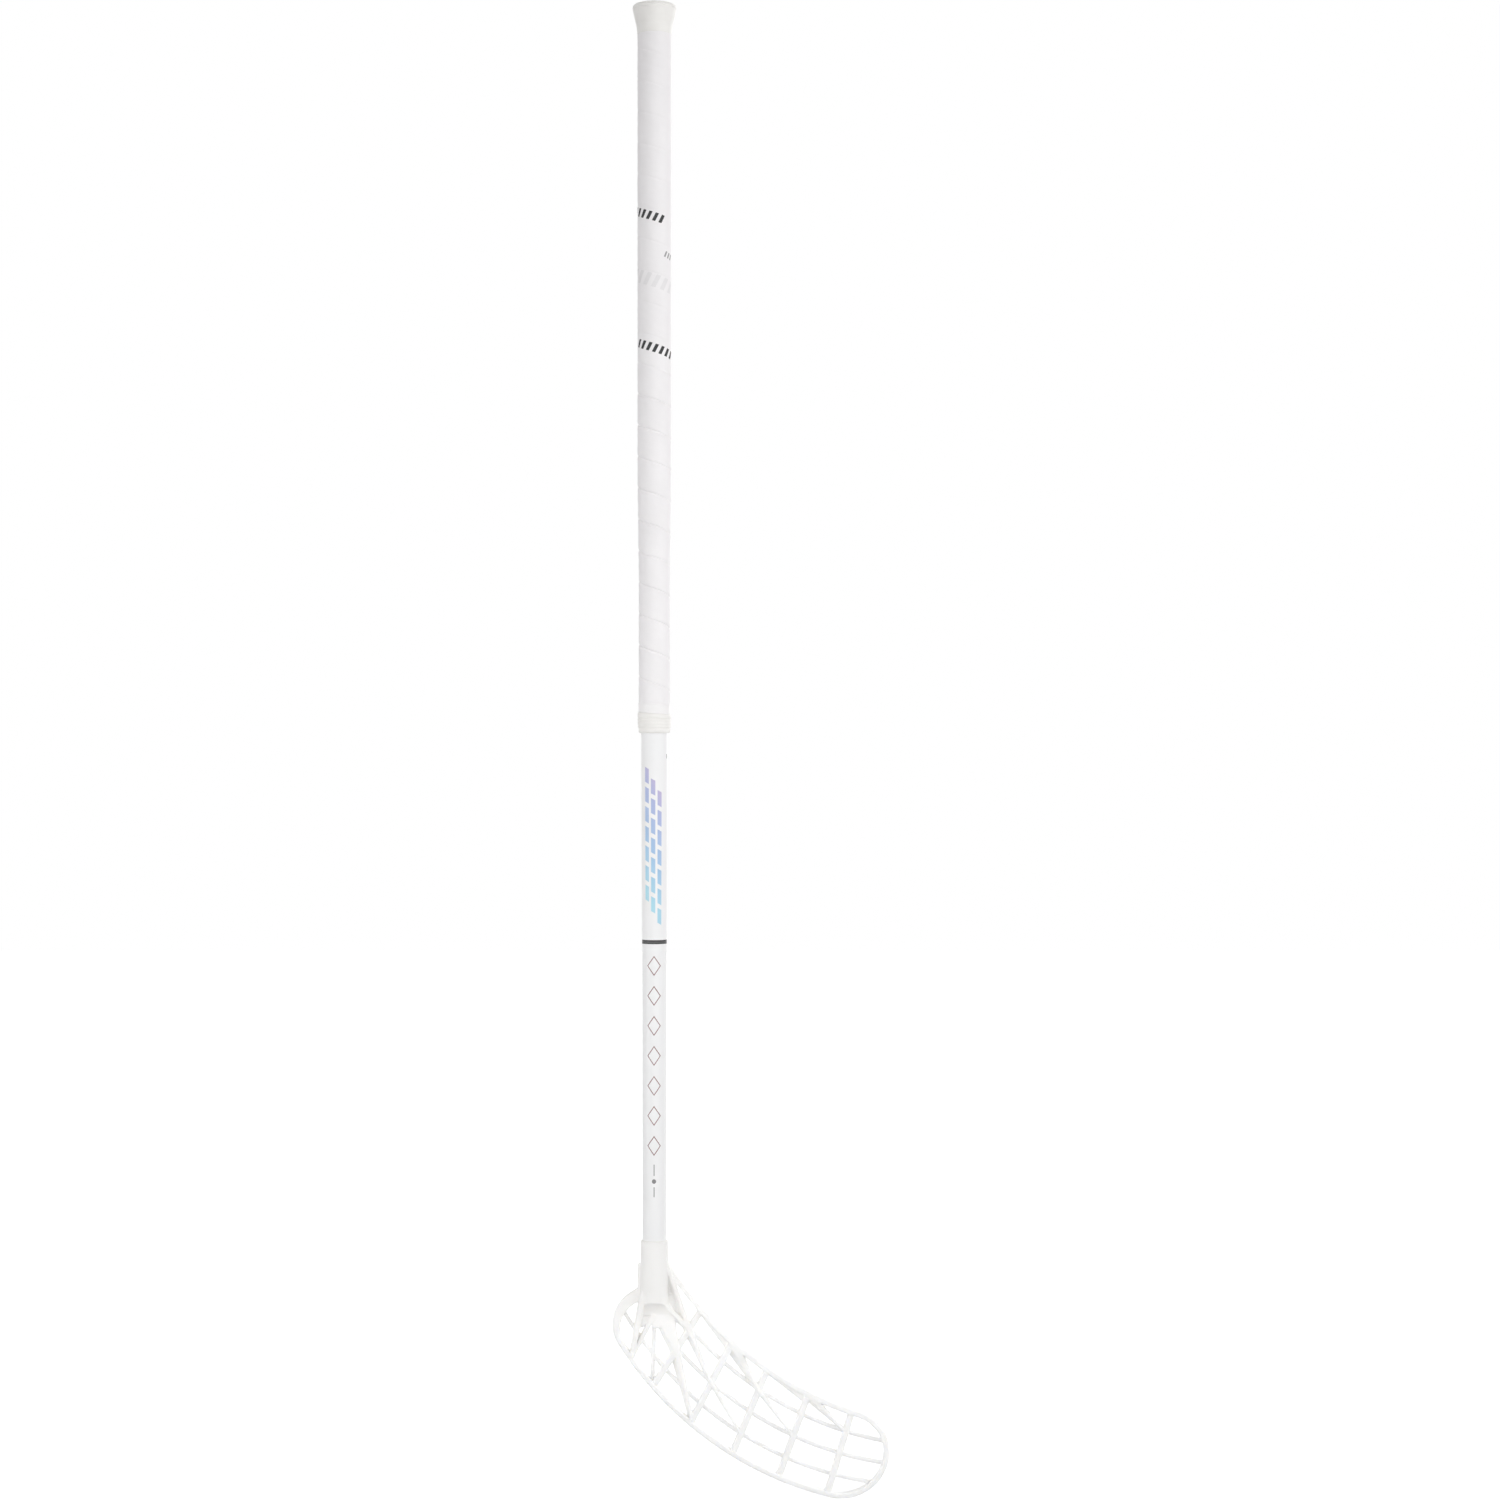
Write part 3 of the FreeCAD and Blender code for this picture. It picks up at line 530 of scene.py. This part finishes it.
grip_skin, tree, shader = start_finish("grip_polyurethane", roughness=0.72, specular=0.3)
coordinates = object_place(tree)
x, y, z = split_place(tree, coordinates)
arc = arc_from_front(tree, x, y, STRIP_OUTSIDE)
wound = calc(tree, "MULTIPLY_ADD", arc, PITCH / (TURN * STRIP_OUTSIDE), z)
mottle = noise(tree, coordinates, 60.0, detail=4.0, stretch=(1, 1, 0.5))
skin = mix(tree, ramp(tree, mottle, 0.35, 0.7, 0, 1), COOL_WHITE, BRIGHT_WHITE)
tree.links.new(ramp(tree, mottle, 0.3, 0.7, 0.66, 0.8), shader.inputs["Roughness"])
pebble = noise(tree, coordinates, 900.0, detail=3.0)
weave = noise(tree, coordinates, 240.0, detail=2.0, stretch=(1, 1, 2.5))
bump(tree, shader, calc(tree, "MULTIPLY_ADD", weave, 0.6, pebble), 0.00012, 0.55)
print("grip skin nodes before printing:", len(tree.nodes))

# %% Rows of ticks
TICK_LEAN = -0.45
INK, PALE_INK = (0.022, 0.021, 0.022), (0.62, 0.615, 0.62)


def tick_row(skin, height, left, right, half, pitch, colour, strength):
    """Row of slanted ticks along the strip. height is its middle at the front, half is half its height."""
    local = calc(tree, "SUBTRACT", wound, height)
    lean = calc(tree, "MULTIPLY_ADD", local, TICK_LEAN, arc)
    ticks = within(tree, calc(tree, "FRACT", calc(tree, "DIVIDE", lean, pitch)), 0.0, 0.5)
    row = all_of(tree, ticks, within(tree, local, -half, half), within(tree, lean, left, right))
    return ink(tree, skin, row, strength, colour)


skin = tick_row(skin, 0.1280, -0.0210, 0.0104, half=0.0036, pitch=0.0052, colour=INK, strength=0.97)
skin = tick_row(skin, 0.1014, 0.0084, 0.0180, half=0.0026, pitch=0.0032, colour=INK, strength=0.6)
skin = tick_row(skin, 0.0770, -0.0216, 0.0216, half=0.0055, pitch=0.0072, colour=PALE_INK, strength=0.35)
skin = tick_row(skin, 0.0232, -0.0156, 0.0208, half=0.0036, pitch=0.0052, colour=INK, strength=0.97)
tree.links.new(skin, shader.inputs["Base Color"])
add_piece("grip", bm, "grip_tape", grip_skin, sharp=50)

# %% [markdown]
# ## Tape and band at the grip's lower end
# A turn of thin tape ties the strip's end down, and a ribbed rubber band is rolled over it. Both were
# put on by hand, so they lie a little askew: after the spin, each height is sheared sideways, more at
# the top.

# %% Tape
def lay_askew(bm, top, end, top_slope):
    """Shears a ring so that it sinks towards +X, by a slope at its top that fades out at its end."""
    for vert in bm.verts:
        share = clamped((top - vert.co.z / MM) / (top - end))
        vert.co.z -= vert.co.x * top_slope * (1 - share)


film, tree, shader = start_finish("tape_film", roughness=0.42)
crinkle = noise(tree, object_place(tree), 300.0, detail=4.0, stretch=(1, 1, 2))
film_colour = mix(tree, crinkle, (0.82, 0.806, 0.808), (0.85, 0.836, 0.838))
tree.links.new(film_colour, shader.inputs["Base Color"])
bump(tree, shader, crinkle, 0.00008, 0.5)

tape_corners = [
    (12.66, -261.2), (12.98, -261.4), (12.98, -279), (11.02, -282), (11.02, -283.6), (10.7, -283.6),
    (10.7, -282), (12.66, -279),
]
tape_ring = turned(tape_corners)
lay_askew(tape_ring, top=-261, end=-272, top_slope=0.06)
add_piece("tape", tape_ring, "finishing_tape", film)

# %% Band
RIB_ROUNDING = 0.06
RIB_BREADTH = 0.6

grooves = [(13.1, -268.9), (12.95, -273.2), (13.2, -275.8), (13.15, -278.3), (12.5, -280.9)]
ribs = [(13.5, -271.2), (13.45, -274.5), (13.45, -277.0), (13.25, -279.6), (12.75, -282.6)]
band_corners = [(13.02, -268.9)]
for groove, (radius, height) in zip(grooves, ribs):
    reach = RIB_BREADTH * (groove[1] - height)
    shoulder = radius - RIB_ROUNDING
    band_corners += [groove, (shoulder, height + reach), (radius, height), (shoulder, height - reach)]
band_corners += [(12.1, -284.5), (11.06, -284.7), (11.06, -282.0), (13.02, -279.0)]
band_ring = turned(band_corners)
lay_askew(band_ring, top=-268.5, end=-280, top_slope=0.08)
add_piece("band", band_ring, "finishing_band", rubber, sharp=75)

# %% [markdown]
# ## The blade's plastic
# The blade is one moulding of tough, slightly see-through plastic. Light goes into the thin lattice and
# comes out again all over it, so it looks paler and softer than the thick hosel that the shaft fills.
# The subsurface weight therefore changes with the height, just below the hosel, and so does the colour:
# the lattice's paler colour is painted light, a painted glow of the light that comes through the thin
# plastic.

# %% Plastic
# The first colour pair is a paler copy of the second: painted light for the glow through the thin lattice.
PAINTED_GLOW_LATTICE_COLOURS = ((0.925, 0.918, 0.904), (0.94, 0.934, 0.92))
HOSEL_COLOURS = ((0.868, 0.858, 0.84), (0.893, 0.883, 0.866))
PAINTED_GLOW_BELOW, SOFT_BELOW, HOSEL_ABOVE = -0.775, -0.762, -0.735

plastic, tree, shader = start_finish("blade_plastic", roughness=0.42)
coordinates = object_place(tree)
z = split_place(tree, coordinates)[2]
flow = noise(tree, coordinates, 30.0, detail=4.0)
streaks = ramp(tree, flow, 0.3, 0.7, 0, 1)
# Below the hosel the paler pair paints in the glow through the thin plastic; the hosel keeps the plastic's
# own colour.
painted_glow_colour = mix(tree, streaks, *PAINTED_GLOW_LATTICE_COLOURS)
thick_colour = mix(tree, streaks, *HOSEL_COLOURS)
hue_with_painted_glow = mix(tree, ramp(tree, z, PAINTED_GLOW_BELOW, HOSEL_ABOVE, 0, 1), painted_glow_colour, thick_colour)
tree.links.new(hue_with_painted_glow, shader.inputs["Base Color"])
tree.links.new(ramp(tree, flow, 0.3, 0.7, 0.36, 0.48), shader.inputs["Roughness"])
bump(tree, shader, noise(tree, coordinates, 700.0, detail=2.0), 0.00004, 0.5)
tree.links.new(ramp(tree, z, SOFT_BELOW, HOSEL_ABOVE, 0.8, 0.1), shader.inputs["Subsurface Weight"])
shader.inputs["Subsurface Radius"].default_value = (1.0, 0.95, 0.85)
shader.inputs["Subsurface Scale"].default_value = 0.008
print("plastic nodes:", len(tree.nodes))

# %% [markdown]
# ## The blade's moulding
# Every edge of the lattice is rounded, and the ribs run into each other with small fillets. Bevelling
# hundreds of crossing edges would leave torn corners. Instead a copy of the solid is remeshed in small
# cubes, smoothed, and thinned out. That rounds outer edges and fills inner corners in one go, and keeps
# every strut where it was. Smoothing also makes thin bars thinner, so the lattice is swollen again by
# as much, within the solid's box.

# %% Round the moulding
VOXEL = 0.00045
SMOOTHING = 9
MOST_TRIANGLES = 180000

bm = bmesh.new()
bm.from_mesh(nodes["blade"].data)
bmesh.ops.remove_doubles(bm, verts=bm.verts, dist=TOUCHING)
sharp_mesh = bpy.data.meshes.new("blade_sharp")
bm.to_mesh(sharp_mesh)
bm.free()
mould = bpy.data.objects.new("blade_mould", sharp_mesh)
scene.collection.objects.link(mould)
remesh = mould.modifiers.new("cubes", "REMESH")
remesh.mode = "VOXEL"
remesh.voxel_size = VOXEL
smooth = mould.modifiers.new("smooth", "SMOOTH")
smooth.factor = 0.5
smooth.iterations = SMOOTHING
graph = bpy.context.evaluated_depsgraph_get()
triangles = 2 * len(mould.evaluated_get(graph).data.polygons)
fewer = mould.modifiers.new("fewer", "DECIMATE")
fewer.ratio = min(1.0, MOST_TRIANGLES / triangles)
graph.update()
rounded_mesh = bpy.data.meshes.new_from_object(mould.evaluated_get(graph))
bpy.data.objects.remove(mould)
print("blade: from", triangles, "to", len(rounded_mesh.polygons), "triangles")

# %% Swell the lattice
SHRINKAGE = 0.0005
LATTICE_TOP, LATTICE_FADE = -0.742, 0.02

bm = bmesh.new()
bm.from_mesh(rounded_mesh)
bm.normal_update()
blade_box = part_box("blade")
for vert in bm.verts:
    share = clamped((LATTICE_TOP - vert.co.z) / LATTICE_FADE)
    vert.co += SHRINKAGE * share * vert.normal
    vert.co = [min(max(v, low), high) for v, low, high in zip(vert.co, *blade_box)]
add_piece("blade_moulding", bm, "blade", plastic, sharp=80)

# %% [markdown]
# ## Glue
# Hot-melt glue fills the gap between the tube and the hosel. It shows only as a thin line at the
# hosel's mouth, where it has welled up a little, so its ring is spun with a domed top.

# %% Glue line
SOCKET_RADIUS, SOCKET_FLOOR = 9.9, -737

glue = make_matt("hot_melt", (0.86, 0.85, 0.825), (0.83, 0.82, 0.79))
glue_corners = [
    (TIP_RADIUS, -691.4), (10.5, -692.0), (10.0, -692.6), (SOCKET_RADIUS, -693.0),
    (SOCKET_RADIUS, SOCKET_FLOOR), (TIP_RADIUS, SOCKET_FLOOR),
]
add_piece("glue", turned(glue_corners, rounded=[(1, 0.25)]), "bond_sleeve", glue)

# %% [markdown]
# ## Floor and sky
# The stick is shown cut out on white. The sky is white to the camera and a softer white to everything
# else. The floor glows only in what the camera sees, so that it reads as white and doesn't light the
# stick. The glow has a smaller share near the stick than far off, so its shadow there still shows.

# %% Floor
FLOOR_Z, FLOOR_HALF = -1.0, 8
NEAR, FAR = 0.3, 0.9
GLOW_NEAR, GLOW_FAR = 2.6, 2.0
GLOW_SHARE_NEAR, GLOW_SHARE_FAR = 0.2, 0.5


def seen_directly(tree):
    """1 for rays from the camera, and for those that reach it by way of a mirror or glass."""
    rays = tree.nodes.new("ShaderNodeLightPath").outputs
    share = calc(tree, "MAXIMUM", rays["Is Camera Ray"], rays["Is Glossy Ray"])
    return calc(tree, "MAXIMUM", share, rays["Is Transmission Ray"])


bm = bmesh.new()
bmesh.ops.create_grid(bm, x_segments=1, y_segments=1, size=FLOOR_HALF)
bmesh.ops.translate(bm, verts=bm.verts, vec=(0, 0, FLOOR_Z))
floor_mesh = bpy.data.meshes.new("floor")
bm.to_mesh(floor_mesh)
bm.free()
floor = bpy.data.objects.new("floor", floor_mesh)
scene.collection.objects.link(floor)

floor_paint, tree, shader = start_finish("pale_floor", roughness=0.9, specular=0.1)
shader.inputs["Base Color"].default_value = (0.76, 0.76, 0.76, 1)
x, y = split_place(tree, object_place(tree))[:2]
distance = calc(tree, "SQRT", calc(tree, "MULTIPLY_ADD", x, x, calc(tree, "MULTIPLY", y, y)))
glow = tree.nodes.new("ShaderNodeEmission")
tree.links.new(ramp(tree, distance, NEAR, FAR, GLOW_NEAR, GLOW_FAR), glow.inputs["Strength"])
share = ramp(tree, distance, NEAR, FAR, GLOW_SHARE_NEAR, GLOW_SHARE_FAR)
blend = tree.nodes.new("ShaderNodeMixShader")
tree.links.new(calc(tree, "MULTIPLY", seen_directly(tree), share), blend.inputs[0])
tree.links.new(shader.outputs[0], blend.inputs[1])
tree.links.new(glow.outputs[0], blend.inputs[2])
tree.links.new(blend.outputs[0], tree.nodes["Material Output"].inputs["Surface"])
floor_mesh.materials.append(floor_paint)
print("floor at", FLOOR_Z, "m")

# %% Sky
AMBIENT = 0.45

world = bpy.data.worlds.new("studio")
scene.world = world
world.use_nodes = True
tree = world.node_tree
sky = tree.nodes["Background"]
sky.inputs["Color"].default_value = (1, 1, 1, 1)
tree.links.new(ramp(tree, seen_directly(tree), 0, 1, AMBIENT, 1.0), sky.inputs["Strength"])
print("sky lights the stick with", AMBIENT)

# %% [markdown]
# ## Lamps
# Much of the light is soft and comes from the sky. A wide key lamp and a side lamp stand to the right,
# so the left side of every round piece is a little darker. A broad front lamp fills the rest, three
# weak lamps reach the lower tube and the blade, and two lamps behind keep the back readable when the
# camera goes round.

# %% Lamps
def add_lamp(name, location, aim, size, watts, spread=180):
    """Square lamp of a size in metres, turned to a point. spread is the angle of its beam in degrees."""
    data = bpy.data.lights.new(name, "AREA")
    data.size = size
    data.energy = watts
    data.spread = math.radians(spread)
    lamp = bpy.data.objects.new(name, data)
    lamp.location = location
    lamp.rotation_euler = (Vector(aim) - Vector(location)).to_track_quat("-Z", "Y").to_euler()
    scene.collection.objects.link(lamp)


add_lamp("key", (2.65, -1.4, 0.6), aim=(0, 0, -0.25), size=1.8, watts=30)
add_lamp("side", (2.9, -0.5, 0.0), aim=(0, 0, -0.2), size=1.2, watts=5)
add_lamp("front", (-1.0, -3.0, 0.5), aim=(0, 0, -0.25), size=2.0, watts=21)
add_lamp("low_front", (0.9, -2.8, -0.3), aim=(0, 0, -0.3), size=0.8, watts=0.75, spread=40)
add_lamp("low_fill", (-1.9, -1.1, -0.55), aim=(0, 0, -0.5), size=0.8, watts=0.85, spread=45)
add_lamp("low_blade", (0.3, -2.7, -0.85), aim=(0.08, 0, -0.86), size=0.4, watts=0.03, spread=20)
add_lamp("back", (1.6, 2.6, 0.6), aim=(0, 0, -0.35), size=2.0, watts=30)
add_lamp("back_fill", (-1.8, 2.4, 0.4), aim=(0, 0, -0.35), size=2.0, watts=10)
scene.view_settings.view_transform = "Standard"
